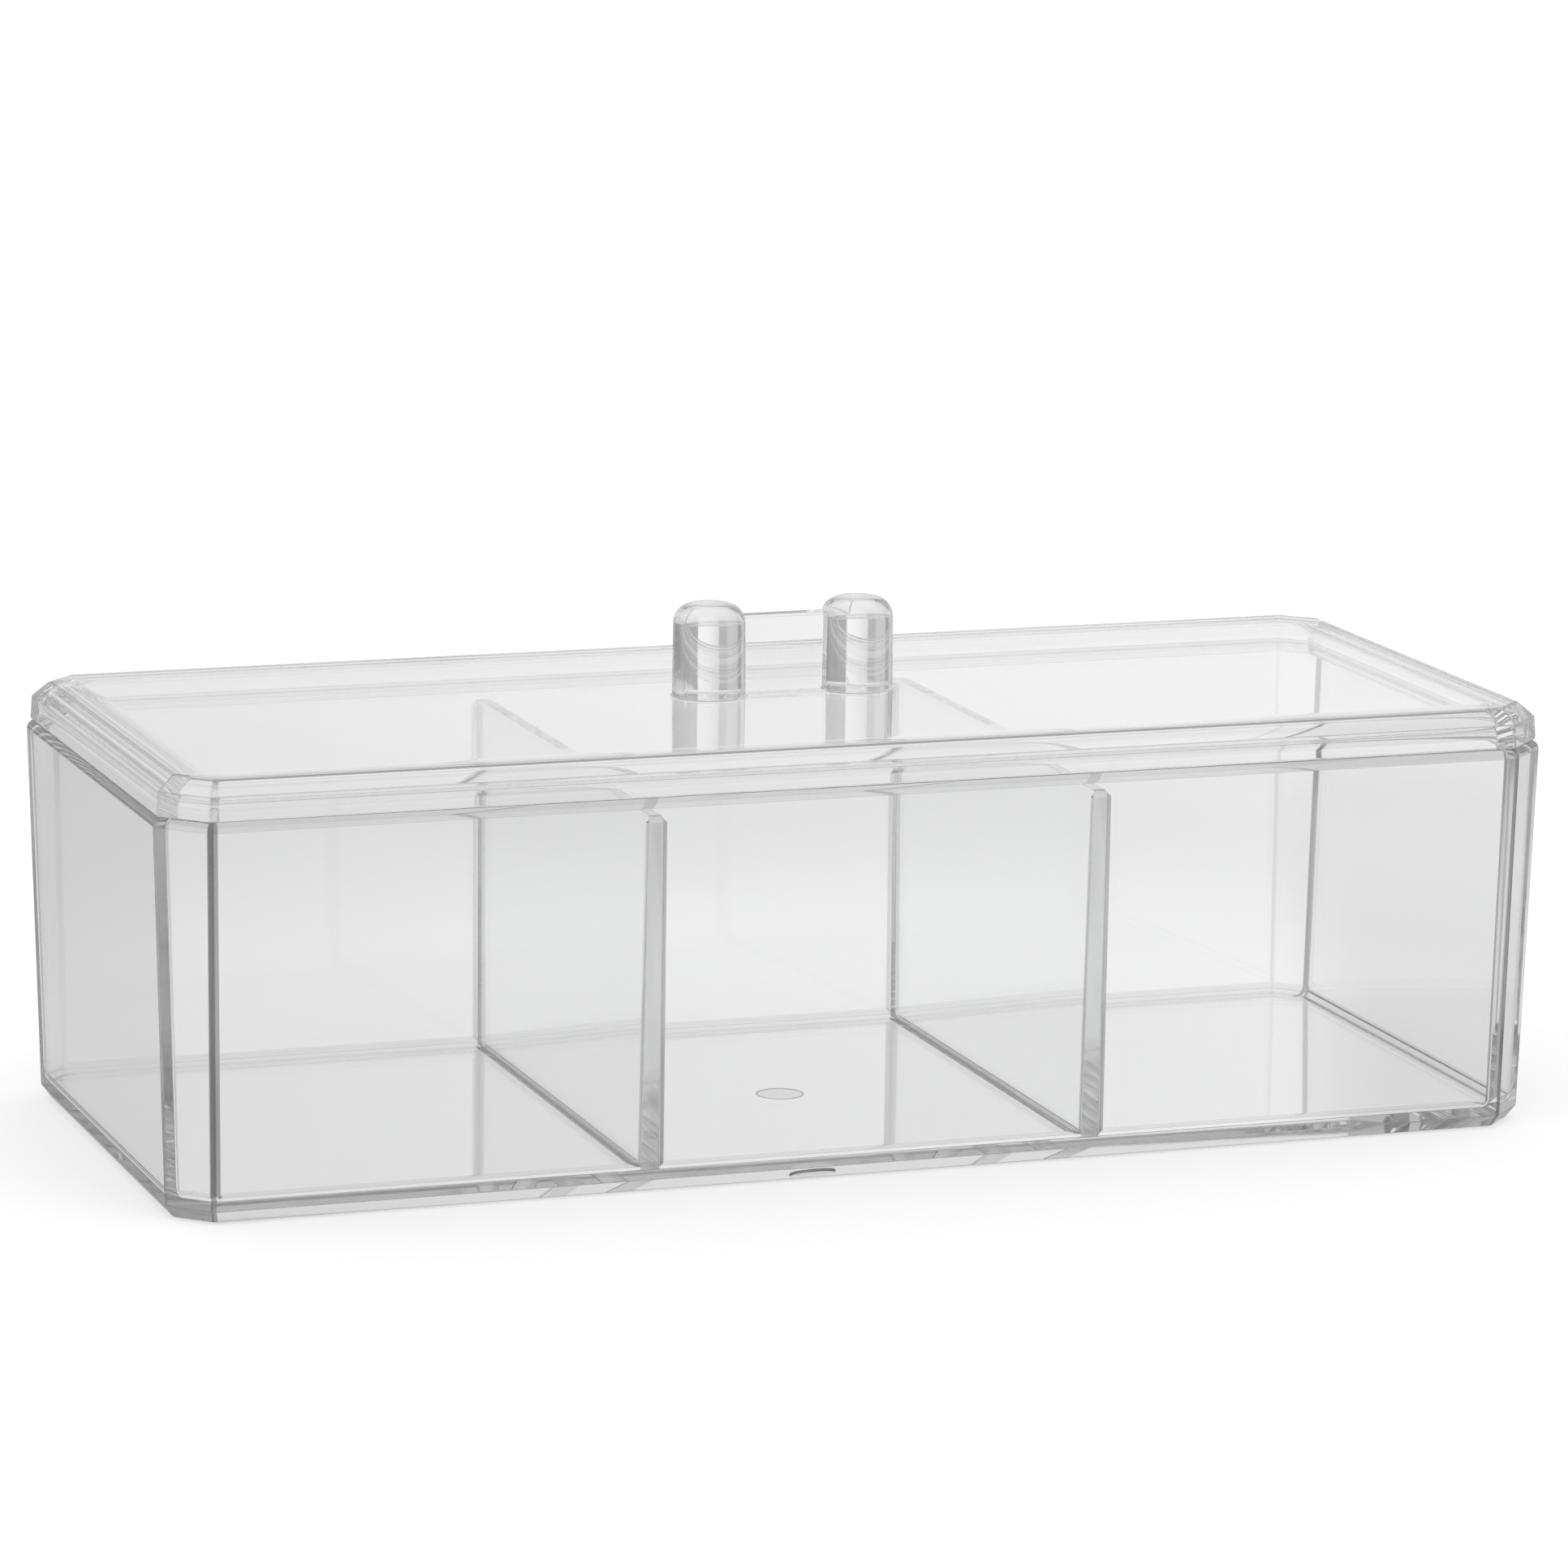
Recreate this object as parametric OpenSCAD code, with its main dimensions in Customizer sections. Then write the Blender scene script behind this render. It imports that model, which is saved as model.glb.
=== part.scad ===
// Clear three-compartment storage box with a lift-off lid.
// Millimetres, +Z up, length along X, front towards -Y, origin at the centre of the base.

/* [Tray] */
// Length of the tray at its rim, where it is longest
rim_length = 230; // [160:1:300]
// Width of the tray at its rim
rim_width = 97.6; // [75:0.2:140]
// Height of the tray without its lid
tray_height = 62.7; // [40:0.1:90]
// Thickness of the tray's walls
wall = 2.8; // [2:0.1:3.6]
// Thickness of the tray's floor
floor_thickness = 2.9; // [1.8:0.1:4]
// Draft of the walls, the same inside and out, in degrees
draft = 1.6; // [0.5:0.1:2.5]
// Leg of the chamfer on each upright corner, measured at the rim
corner_leg = 7; // [6:0.1:14]
// Radius where the floor meets the walls inside
floor_fillet = 1.6; // [0.4:0.1:3]
// Radius of the rim's outer edge
rim_radius = 1.5; // [0.4:0.1:1.8]
// How far the bevel round the foot reaches in
foot_bevel_in = 1.4; // [0.4:0.1:2.2]
// How far the bevel round the foot reaches up
foot_bevel_up = 2; // [0.5:0.1:3]

/* [Gate mark] */
// Diameter of the shallow round mark under the middle of the floor
gate_diameter = 7.6; // [4:0.1:12]
// Depth of the mark
gate_depth = 0.5; // [0.2:0.1:1]

/* [Dividers] */
// Clear width of the middle compartment, measured at the foot of the dividers
middle_width = 70.8; // [40:0.2:100]
// Thickness of a divider at its foot
divider_foot = 2.8; // [1.6:0.1:4]
// Thickness of a divider along its top edge
divider_top = 2; // [1:0.1:3]
// How far the dividers stop below the rim
divider_drop = 3.1; // [2.4:0.1:10]
// Radius of the fillets up the ends and along the foot of a divider
divider_fillet = 0.7; // [0.3:0.1:1.2]
// Radius of a divider's two upper corners
divider_corner = 1.2; // [0.3:0.1:3]

/* [Lid] */
// How far the skirt's lower edge stands in from the tray's outline
skirt_inset = 0.55; // [0.2:0.05:1]
// Height of the skirt's upright face
skirt_height = 3.9; // [2.5:0.1:8]
// Draft of the skirt's upright face, in degrees
skirt_draft = 4; // [0:0.5:6]
// How far the bevel round the top reaches in
top_bevel_in = 2.7; // [1:0.1:3.6]
// How far the bevel round the top reaches up
top_bevel_up = 2.4; // [1:0.1:4]
// Thickness of the lid's plate
plate_thickness = 2.2; // [1.5:0.1:3.5]
// How deep the locating lip reaches into the tray
lip_depth = 1.8; // [1:0.1:2.2]
// Gap between the lip and the tray's wall
lip_clearance = 0.3; // [0.15:0.05:0.8]
// Thickness of the lip at its lower edge
lip_thickness = 2; // [1.2:0.1:3]
// Radius where the plate meets the lip inside
lid_fillet = 3.2; // [0.5:0.1:4]

/* [Handle] */
// Distance between the axes of the two posts
post_spacing = 25.2; // [18:0.2:40]
// Diameter of a post at its foot
post_foot = 11.9; // [8:0.05:16]
// Diameter of a post just under its rounded top
post_top = 11.55; // [7:0.05:15]
// Height of the posts above the lid's plate
post_height = 15; // [10:0.5:30]
// Radius of the rounded top edge of a post
post_radius = 3.2; // [1:0.1:3.4]
// Thickness of the web between the posts
web_thickness = 3.2; // [2:0.1:6]
// How far the web stops below the top of the posts
web_drop = 2.1; // [0:0.1:6]
// Radius of the web's two upper edges
web_radius = 0.5; // [0.2:0.1:0.9]
// Radius of the fillet where the posts and the web meet the plate
handle_fillet = 0.4; // [0.2:0.1:0.8]

/* [Hidden] */

CLEAR = [0.88, 0.9, 0.91, 0.35];
// Flats that stand in for a quarter turn of a fillet, and of a divider's small ones
ARC_STEPS = 8;
FILLET_STEPS = 5;
// How far a cutting shape runs past the face that it cuts
PAST = 1;

draft_slope = tan(draft);
// Where the drafted wall ends and the rim's rounded edge begins
rim_start = tray_height - rim_radius;
divider_height = tray_height - divider_drop;
divider_x = middle_width / 2 + divider_foot / 2;
skirt_top = tray_height + skirt_height;
lid_top = skirt_top + top_bevel_up;
skirt_top_inset = skirt_inset + skirt_height * tan(skirt_draft);
lip_outside = wall + lip_clearance;
lip_foot = tray_height - lip_depth;
// The lip's lower edge is drawn in a little so that it finds the tray
lip_lead = min(0.4, lip_thickness / 3);
plate_underside = lid_top - plate_thickness;
// The fillet inside the lid ends above the tray's rim however large it is set
inside_fillet = min(lid_fillet, plate_underside - tray_height);
post_draft = atan((post_foot - post_top) / 2 / post_height);

// How far the tray's outer wall stands in from the rim's outline at a height
function wall_inset(z) = (rim_start - z) * draft_slope;

// The box's outline as eight points at one height, drawn in by the same inset on all eight sides
function ring(z, inset) =
    let (
        x = rim_length / 2 - inset,
        y = rim_width / 2 - inset,
        leg = corner_leg - inset * (2 - sqrt(2))
    )
    [
        [x - leg, -y, z], [x, -y + leg, z], [x, y - leg, z], [x - leg, y, z],
        [-x + leg, y, z], [-x, y - leg, z], [-x, -y + leg, z], [-x + leg, -y, z]
    ];

// Levels, each a height and an inset, along a quarter fillet that turns from one angle to another
function arc_levels(z, inset, radius, from, to) = [
    for (i = [0 : ARC_STEPS])
    let (a = from + (to - from) * i / ARC_STEPS)
    [z + radius * sin(a), inset - radius * cos(a)]
];

// Solid with a skin over outlines that have the same number of points, from the lowest up
module skinned(outlines) {
    sides = len(outlines[0]);
    last = len(outlines) - 1;
    walls = [
        for (k = [0 : last - 1])
        for (i = [0 : sides - 1])
        let (j = (i + 1) % sides)
        [k * sides + i, (k + 1) * sides + i, (k + 1) * sides + j, k * sides + j]
    ];
    foot = [for (i = [0 : sides - 1]) i];
    head = [for (i = [sides - 1 : -1 : 0]) last * sides + i];
    polyhedron([for (o = outlines) each o], concat([foot], walls, [head]), convexity = 6);
}

// Solid through levels of the box's outline, from the lowest to the highest
module lofted(levels) {
    skinned([for (level = levels) ring(level[0], level[1])]);
}

// Outside of the tray: bevelled foot, drafted walls, rounded rim
module tray_outside() {
    lofted(concat(
        [[0, wall_inset(0) + foot_bevel_in]],
        [[foot_bevel_up, wall_inset(foot_bevel_up)]],
        arc_levels(rim_start, rim_radius, rim_radius, 0, 90)
    ));
}

// Room inside the tray: flat floor, filleted foot, walls parallel to the outside
module tray_room() {
    fillet_top = floor_thickness + floor_fillet;
    lofted(concat(
        arc_levels(fillet_top, wall_inset(fillet_top) + wall + floor_fillet, floor_fillet, -90, 0),
        [[tray_height + PAST, wall_inset(tray_height + PAST) + wall]]
    ));
}

module tray() {
    color(CLEAR)
    difference() {
        tray_outside();
        tray_room();
        translate([0, 0, -PAST])
        cylinder(h = PAST + gate_depth, d = gate_diameter, $fn = 64);
    }
}

// Face of a divider seen from the end of the box, with its two upper corners rounded
module divider_face() {
    straight = divider_height - divider_corner;
    half = rim_width / 2 - wall_inset(straight) - wall;
    translate([-half, 0])
    square([2 * half, straight]);
    translate([-half + divider_corner, 0])
    square([2 * (half - divider_corner), divider_height]);
    for (side = [-1, 1])
    translate([side * (half - divider_corner), straight])
    circle(r = divider_corner, $fn = 48);
}

// How thick half a divider is at a height
function divider_half(z) =
    divider_foot / 2
    - (divider_foot - divider_top) / 2 * (z - floor_thickness) / (divider_height - floor_thickness);

// One quarter of a divider's outline from above: its face, flared out to the wall and past it
function divider_quarter(z, extra) =
    let (half = divider_half(z) + extra, wall_y = rim_width / 2 - wall_inset(z) - wall)
    concat(
        [
            for (i = [0 : FILLET_STEPS])
            let (a = 90 * i / FILLET_STEPS)
            [half + divider_fillet * (1 - cos(a)), wall_y - divider_fillet * (1 - sin(a))]
        ],
        [[half + divider_fillet, wall_y + PAST]]
    );

// A divider's whole outline from above
function divider_ring(x, z, extra) =
    let (
        quarter = divider_quarter(z, extra),
        turned = [for (i = [len(quarter) - 1 : -1 : 0]) quarter[i]]
    )
    concat(
        [for (p = quarter) [x + p[0], p[1], z]],
        [for (p = turned) [x - p[0], p[1], z]],
        [for (p = quarter) [x - p[0], -p[1], z]],
        [for (p = turned) [x + p[0], -p[1], z]]
    );

// A panel that tapers upwards, flared where it meets the floor and both walls
module divider(x) {
    wide = divider_foot + 4 * divider_fillet + PAST;
    color(CLEAR)
    intersection() {
        translate([x - wide / 2, 0, 0])
        rotate([90, 0, 90])
        linear_extrude(wide)
        divider_face();
        skinned(concat(
            [divider_ring(x, floor_thickness - PAST, divider_fillet)],
            [
                for (i = [FILLET_STEPS : -1 : 0])
                let (a = 90 * i / FILLET_STEPS)
                divider_ring(
                    x,
                    floor_thickness + divider_fillet * (1 - sin(a)),
                    divider_fillet * (1 - cos(a))
                )
            ],
            [divider_ring(x, divider_height + PAST, 0)]
        ));
        tray_room();
    }
}

module left_divider() {
    divider(-divider_x);
}

module right_divider() {
    divider(divider_x);
}

module lid() {
    fillet_start = plate_underside - inside_fillet;
    inner_foot = lip_outside + lip_thickness;
    inner_head = inner_foot + (fillet_start - lip_foot) * draft_slope;
    color(CLEAR)
    difference() {
        union() {
            lofted([
                [tray_height, skirt_inset],
                [skirt_top, skirt_top_inset],
                [lid_top, skirt_top_inset + top_bevel_in]
            ]);
            lofted([
                [lip_foot, lip_outside + lip_lead],
                [lip_foot + lip_lead, lip_outside],
                [tray_height + PAST, lip_outside]
            ]);
        }
        lofted(concat(
            [[lip_foot - PAST, inner_foot - PAST * draft_slope]],
            arc_levels(fillet_start, inner_head + inside_fillet, inside_fillet, 0, 90)
        ));
    }
}

// Concave fillet between the plate and an upright face that stands at a distance from the axis
module foot_fillet(face) {
    difference() {
        translate([face - handle_fillet, 0])
        square([2 * handle_fillet, handle_fillet]);
        translate([face + handle_fillet, handle_fillet])
        circle(r = handle_fillet, $fn = 32);
    }
}

// Half section of a post: drafted side, rounded top edge, flat top
module post_section() {
    foot = post_foot / 2;
    round_z = post_height - post_radius;
    round_x = foot - round_z * tan(post_draft) - post_radius / cos(post_draft);
    polygon([
        [0, 0],
        [foot, 0],
        [round_x + post_radius * cos(post_draft), round_z + post_radius * sin(post_draft)],
        [round_x, round_z],
        [round_x, post_height],
        [0, post_height]
    ]);
    foot_fillet(foot);
    intersection() {
        translate([round_x, round_z])
        circle(r = post_radius, $fn = 64);
        square([foot, post_height]);
    }
}

// Web seen from the end of the box, with its two upper edges rounded
module web_section() {
    height = post_height - web_drop;
    half = web_thickness / 2;
    translate([-half, 0])
    square([web_thickness, height - web_radius]);
    for (side = [0, 1])
    mirror([side, 0])
    foot_fillet(half);
    translate([-half + web_radius, 0])
    square([web_thickness - 2 * web_radius, height]);
    for (side = [-1, 1])
    translate([side * (half - web_radius), height - web_radius])
    circle(r = web_radius, $fn = 32);
}

module handle() {
    color(CLEAR)
    translate([0, 0, lid_top]) {
        for (side = [-1, 1])
        translate([side * post_spacing / 2, 0, 0])
        rotate_extrude($fn = 96)
        post_section();
        translate([-post_spacing / 2, 0, 0])
        rotate([90, 0, 90])
        linear_extrude(post_spacing)
        web_section();
    }
}

tray();
left_divider();
right_divider();
lid();
handle();
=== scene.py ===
import math

import bmesh
import bpy
from mathutils import Matrix, Vector


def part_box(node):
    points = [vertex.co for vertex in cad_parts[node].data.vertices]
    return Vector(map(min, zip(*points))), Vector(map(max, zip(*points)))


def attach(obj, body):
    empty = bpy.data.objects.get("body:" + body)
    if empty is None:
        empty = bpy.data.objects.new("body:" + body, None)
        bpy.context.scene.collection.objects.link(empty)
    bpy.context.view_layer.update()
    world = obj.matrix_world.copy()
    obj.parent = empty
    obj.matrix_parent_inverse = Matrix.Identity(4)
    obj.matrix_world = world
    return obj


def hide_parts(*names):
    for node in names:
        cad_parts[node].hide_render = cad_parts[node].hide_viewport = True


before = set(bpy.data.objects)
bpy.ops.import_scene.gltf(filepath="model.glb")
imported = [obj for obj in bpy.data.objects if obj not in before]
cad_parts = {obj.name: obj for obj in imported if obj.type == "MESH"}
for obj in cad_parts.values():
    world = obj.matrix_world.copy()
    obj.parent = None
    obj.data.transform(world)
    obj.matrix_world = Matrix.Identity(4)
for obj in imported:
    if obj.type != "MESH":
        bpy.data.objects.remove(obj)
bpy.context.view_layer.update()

MM = 0.001

# The photograph's camera: its turn round the box, its tilt and roll in degrees, where the centre
# of the base lies in its own view (right, down, away, in millimetres), and its focal length
PHOTO_SIZE = (1932, 1925)
CAMERA_TURN = 19.406
CAMERA_TILT = 11.231
CAMERA_ROLL = 0.692
BASE_IN_VIEW = (-1.054, 53.102, 1138.257)
FOCAL_PIXELS = 8579.8
SENSOR_WIDTH = 36.0

# The mouldings' sizes, as in the part's source, in metres
DRAFT_SLOPE = math.tan(math.radians(1.6))
SKIRT_SLOPE = math.tan(math.radians(4))
WALL = 2.8 * MM
FLOOR_THICKNESS = 2.9 * MM
FLOOR_FILLET = 1.6 * MM
RIM_RADIUS = 1.5 * MM
CORNER_LEG = 7 * MM
FOOT_BEVEL = (1.4 * MM, 2 * MM)
GATE_RADIUS = 3.8 * MM
GATE_DEPTH = 0.25 * MM
DIVIDER_FOOT = 2.8 * MM
DIVIDER_TOP = 2 * MM
DIVIDER_FLARE = 0.7 * MM
DIVIDER_CORNER = 1.2 * MM
SKIRT_INSET = 0.55 * MM
SKIRT_HEIGHT = 3.9 * MM
TOP_BEVEL_IN = 2.7 * MM
PLATE = 2.2 * MM
LIP_DEPTH = 1.8 * MM
LIP_CLEARANCE = 0.3 * MM
LIP_THICKNESS = 2 * MM
LIP_LEAD = 0.4 * MM
LID_FILLET = 3.2 * MM

# Small sizes that only the looks need, in metres
EDGE_RADIUS = 0.22 * MM
MOULD_EDGE_RADIUS = 0.3 * MM
FOOT_EDGE_RADIUS = 0.35 * MM
TOP_EDGE_RADIUS = 1.2 * MM
TRAY_CORNER_RADIUS = 1.1 * MM
LID_CORNER_RADIUS = 0.6 * MM
SHARP_ANGLE = math.radians(25)
# Only the gate mark's edges are sharper than this on the tray
GATE_ANGLE = math.radians(60)
# Flats in a fillet, in a rounded edge and in a rounded corner of an outline
FILLET_STEPS = 7
EDGE_STEPS = 2
CORNER_STEPS = 3
# How far a flat face runs on past a bend before it closes
FLAT_PAST = 1 * MM
# The face attribute that holds how much painted edge shade each face takes
EDGE_SHADE_ATTRIBUTE = "edge"
# How much painted edge shade each kind of face takes: its colour darkens towards the shade colour below, standing
# in for the dark lines that refraction and contact shadow draw along fillets, edges and corners. The same amount
# also roughens it.
FILLET_SHADE = 0.27
FOOT_SHADE = 0.67
RIM_SHADE = 0.47
LID_FILLET_SHADE = 0.17
LID_EDGE_SHADE = 0.27
TOP_EDGE_SHADE = 0.4
HANDLE_EDGE_SHADE = 0.2
FLARE_SHADE = 0.25
# Painted shade down the right-hand side of each divider's front end flare
RIGHT_FLARE_SHADE = 0.8
# The painted shade on the rounded corners is weaker at the back wall's two corners and at the left end's front
# corner
BACK_CORNER_SHADE = 0.2
LEFT_CORNER_SHADE = 0.37
GATE_SHADE = 0.45
# The colour of the painted edge shade
EDGE_SHADE_COLOUR = (0.25, 0.25, 0.25)
SCUFFS = 0.03
EDGE_DULLING = 0.17
# What the plastic swallows on a long way through it, per metre
BODY_COLOUR = (0.0, 0.0, 0.0)
CEMENT_OVERLAP = 0.06 * MM
SEAT_GAP = 0.06 * MM
FLOOR_GAP = 0.2 * MM
FLOOR_SIZE = 60.0

# How matt white the floor is for rays from the camera, out of plastic, off a mirror, and the rest
FLOOR_MATT = (0.8, 0.16, 0.15, 0.8)
# What it glows with for the camera alone, so that it is white there
FLOOR_CAMERA = 0.38
# What it glows with close to the box, for rays out of plastic, at the left and at the right
FLOOR_THROUGH = (0.545, 0.825)
# How much brighter that is beneath the box, and how far out this ends
FLOOR_NEAR = 1.25
FLOOR_NEAR_END = (0.1, 0.26)
# What it glows with for rays off a mirror
FLOOR_MIRRORED = 0.3
# How much painted shade darkens the table's glow beside the box's right end, and where along a slanted line
FLOOR_BESIDE_SHADE = 0.24
BESIDE = (0.085, 0.11)
BESIDE_SLANT = 0.42
BESIDE_END = (0.17, 0.26)
# Where the table ends, as distances from the box
TABLE_EDGE = (0.28, 0.36)
# Brightness round the room by the turn from the camera's line of sight, in degrees to the right: a
# white screen straight ahead, lighter cards at its sides, and grey between them
ROOM = (
    (-180, 0.1), (-175, 0.1), (-152, 0.25), (-119, 0.7), (-99, 0.7), (-92, 0.25), (-78, 0.25),
    (-73, 0.7), (-56, 0.7), (-50, 0.35), (-43, 0.35), (-40, 0.6), (-23, 0.6), (-20, 0.48),
    (-12.5, 0.48), (-11, 0.76), (0, 0.92), (11, 0.97), (12.5, 0.42), (20, 0.42), (23, 0.38), (38, 0.38),
    (45, 0.3), (98, 0.25), (106, 0.7), (125, 0.7), (140, 0.1), (180, 0.1),
)
SCREEN_HEIGHT = (24, 34)
# The screens' lit band at the height of the box, all round
HORIZON = 0.86
HORIZON_HEIGHT = (5.5, 8)
ROOM_ABOVE = 0.35
SOFTBOX = 1.0
SOFTBOX_HEIGHT = (52, 60)


# Node trees

def new_tree(kind, name, inputs, outputs):
    """An empty node tree with named sockets, each a (type, name, value) or (type, name)."""
    tree = bpy.data.node_groups.new(name, kind)
    for socket_type, label, *value in inputs:
        socket = tree.interface.new_socket(label, in_out="INPUT", socket_type=socket_type)
        if value:
            socket.default_value = value[0]
    for socket_type, label in outputs:
        tree.interface.new_socket(label, in_out="OUTPUT", socket_type=socket_type)
    return tree, tree.nodes.new("NodeGroupInput"), tree.nodes.new("NodeGroupOutput")


def feed(tree, socket, value):
    """Links a socket or a worked number to an input, or writes a plain value on it."""
    if isinstance(value, Worked):
        value = value.socket
    if isinstance(value, bpy.types.NodeSocket):
        tree.links.new(value, socket)
    else:
        socket.default_value = value


def math_node(tree, operation, *values):
    node = tree.nodes.new("ShaderNodeMath")
    node.operation = operation
    for socket, value in zip(node.inputs, values):
        feed(tree, socket, value)
    return node.outputs[0]


class Worked:
    """A number that a node tree works out, so that a rule can be written as a sum."""

    def __init__(self, socket):
        self.socket = socket

    def by(self, operation, *values):
        return Worked(math_node(self.socket.id_data, operation, self, *values))

    def __add__(self, other):
        return self.by("ADD", other)

    def __sub__(self, other):
        return self.by("SUBTRACT", other)

    def __mul__(self, other):
        return self.by("MULTIPLY", other)

    def __truediv__(self, other):
        return self.by("DIVIDE", other)

    def from_(self, other):
        return Worked(math_node(self.socket.id_data, "SUBTRACT", other, self))

    def clamped(self):
        held = self.by("MULTIPLY", 1)
        held.socket.node.use_clamp = True
        return held



def moulded_surface_group():
    """Slow waves and fine scuffs of a polished moulding: a normal and a roughness."""
    tree, given, made = new_tree(
        "ShaderNodeTree", "moulded surface",
        [
            ("NodeSocketVector", "Place", (0, 0, 0)),
            ("NodeSocketFloat", "Wave Height", 0.00002),
            ("NodeSocketFloat", "Haze", 0.01),
            ("NodeSocketFloat", "Scuffs", 0.03),
        ],
        [("NodeSocketVector", "Normal"), ("NodeSocketFloat", "Roughness")],
    )
    waves = tree.nodes.new("ShaderNodeTexNoise")
    waves.inputs["Scale"].default_value = 55
    waves.inputs["Detail"].default_value = 1
    tree.links.new(given.outputs["Place"], waves.inputs["Vector"])
    bump = tree.nodes.new("ShaderNodeBump")
    bump.inputs["Strength"].default_value = 1
    tree.links.new(given.outputs["Wave Height"], bump.inputs["Distance"])
    tree.links.new(waves.outputs["Fac"], bump.inputs["Height"])
    tree.links.new(bump.outputs["Normal"], made.inputs["Normal"])
    stretch = tree.nodes.new("ShaderNodeMapping")
    stretch.inputs["Rotation"].default_value = (0.3, 0.2, 0.6)
    stretch.inputs["Scale"].default_value = (90, 900, 500)
    tree.links.new(given.outputs["Place"], stretch.inputs["Vector"])
    scuff = tree.nodes.new("ShaderNodeTexNoise")
    scuff.inputs["Scale"].default_value = 1
    scuff.inputs["Detail"].default_value = 3
    tree.links.new(stretch.outputs["Vector"], scuff.inputs["Vector"])
    worn = tree.nodes.new("ShaderNodeMapRange")
    worn.inputs["From Min"].default_value = 0.62
    worn.inputs["From Max"].default_value = 0.75
    tree.links.new(scuff.outputs["Fac"], worn.inputs["Value"])
    scuffed = math_node(tree, "MULTIPLY", worn.outputs["Result"], given.outputs["Scuffs"])
    roughness = math_node(tree, "ADD", scuffed, given.outputs["Haze"])
    tree.links.new(roughness, made.inputs["Roughness"])
    return tree


MOULDED_SURFACE = moulded_surface_group()


def clear_plastic(name, tint, density, wave_height, haze):
    """Polished clear plastic that lets lamp light through, with a faint tint in its thickness, and painted shade
    that darkens and roughens its marked edges.
    """
    material = bpy.data.materials.new(name)
    material.use_nodes = True
    tree = material.node_tree
    tree.nodes.clear()
    place = tree.nodes.new("ShaderNodeTexCoord")
    surface = tree.nodes.new("ShaderNodeGroup")
    surface.node_tree = MOULDED_SURFACE
    surface.inputs["Wave Height"].default_value = wave_height
    surface.inputs["Haze"].default_value = haze
    surface.inputs["Scuffs"].default_value = SCUFFS
    tree.links.new(place.outputs["Object"], surface.inputs["Place"])
    plastic = tree.nodes.new("ShaderNodeBsdfPrincipled")
    plastic.inputs["Base Color"].default_value = (*tint, 1)
    plastic.inputs["IOR"].default_value = 1.5
    plastic.inputs["Transmission Weight"].default_value = 1
    tree.links.new(surface.outputs["Normal"], plastic.inputs["Normal"])
    # Painted edge shade: the marked faces' colour goes towards the dark shade colour, and they are rougher
    edge = tree.nodes.new("ShaderNodeAttribute")
    edge.attribute_name = EDGE_SHADE_ATTRIBUTE
    dulled = math_node(tree, "MULTIPLY", edge.outputs["Fac"], EDGE_DULLING)
    rough = math_node(tree, "ADD", surface.outputs["Roughness"], dulled)
    tree.links.new(rough, plastic.inputs["Roughness"])
    edge_shaded_colour = tree.nodes.new("ShaderNodeMix")
    edge_shaded_colour.data_type = "RGBA"
    edge_shaded_colour.inputs["A"].default_value = (*tint, 1)
    edge_shaded_colour.inputs["B"].default_value = (*EDGE_SHADE_COLOUR, 1)
    tree.links.new(edge.outputs["Fac"], edge_shaded_colour.inputs["Factor"])
    tree.links.new(edge_shaded_colour.outputs["Result"], plastic.inputs["Base Color"])
    through = tree.nodes.new("ShaderNodeBsdfTransparent")
    through.inputs["Color"].default_value = (0.96, 0.96, 0.96, 1)
    ray = tree.nodes.new("ShaderNodeLightPath")
    mix = tree.nodes.new("ShaderNodeMixShader")
    tree.links.new(ray.outputs["Is Shadow Ray"], mix.inputs[0])
    tree.links.new(plastic.outputs[0], mix.inputs[1])
    tree.links.new(through.outputs[0], mix.inputs[2])
    output = tree.nodes.new("ShaderNodeOutputMaterial")
    tree.links.new(mix.outputs[0], output.inputs["Surface"])
    body = tree.nodes.new("ShaderNodeVolumeAbsorption")
    body.inputs["Color"].default_value = (*BODY_COLOUR, 1)
    body.inputs["Density"].default_value = density
    tree.links.new(body.outputs[0], output.inputs["Volume"])
    return material


# Shapes

def shape_node(tree, kind, settings, inputs):
    """A geometry node with its settings and its inputs, by name."""
    node = tree.nodes.new(kind)
    for label, value in settings.items():
        setattr(node, label, value)
    for label, value in inputs.items():
        feed(tree, node.inputs[label], value)
    return node


def split_vector(tree, socket):
    node = tree.nodes.new("ShaderNodeSeparateXYZ")
    tree.links.new(socket, node.inputs[0])
    return [Worked(output) for output in node.outputs]


def joined_vector(tree, *values):
    node = tree.nodes.new("ShaderNodeCombineXYZ")
    for socket, value in zip(node.inputs, values):
        feed(tree, socket, value)
    return node.outputs[0]


def switched(tree, kind, index, values):
    """The value in a list that an index picks."""
    node = tree.nodes.new("GeometryNodeIndexSwitch")
    node.data_type = kind
    while len(node.index_switch_items) < len(values):
        node.index_switch_items.new()
    feed(tree, node.inputs["Index"], index)
    for number, value in enumerate(values):
        feed(tree, node.inputs[str(number)], value)
    return node.outputs["Output"]


def finished_shape(tree, geometry, given, made):
    """Ends a tree: everything real, in the material given."""
    real = shape_node(tree, "GeometryNodeRealizeInstances", {}, {"Geometry": geometry})
    painted = shape_node(
        tree, "GeometryNodeSetMaterial", {},
        {"Geometry": real.outputs["Geometry"], "Material": given.outputs["Material"]},
    )
    tree.links.new(painted.outputs["Geometry"], made.inputs["Geometry"])


def made_by(tree, name, values):
    """A plain mesh object that a tree makes from its named values."""
    piece = bpy.data.objects.new(name, bpy.data.meshes.new(name))
    bpy.context.collection.objects.link(piece)
    rule = piece.modifiers.new("rule", "NODES")
    rule.node_group = tree
    for label, value in values.items():
        rule[tree.interface.items_tree[label].identifier] = value
    evaluated = piece.evaluated_get(bpy.context.evaluated_depsgraph_get())
    mesh = bpy.data.meshes.new_from_object(evaluated)
    piece.modifiers.remove(rule)
    piece.data = mesh
    mesh.name = name
    return piece


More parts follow.
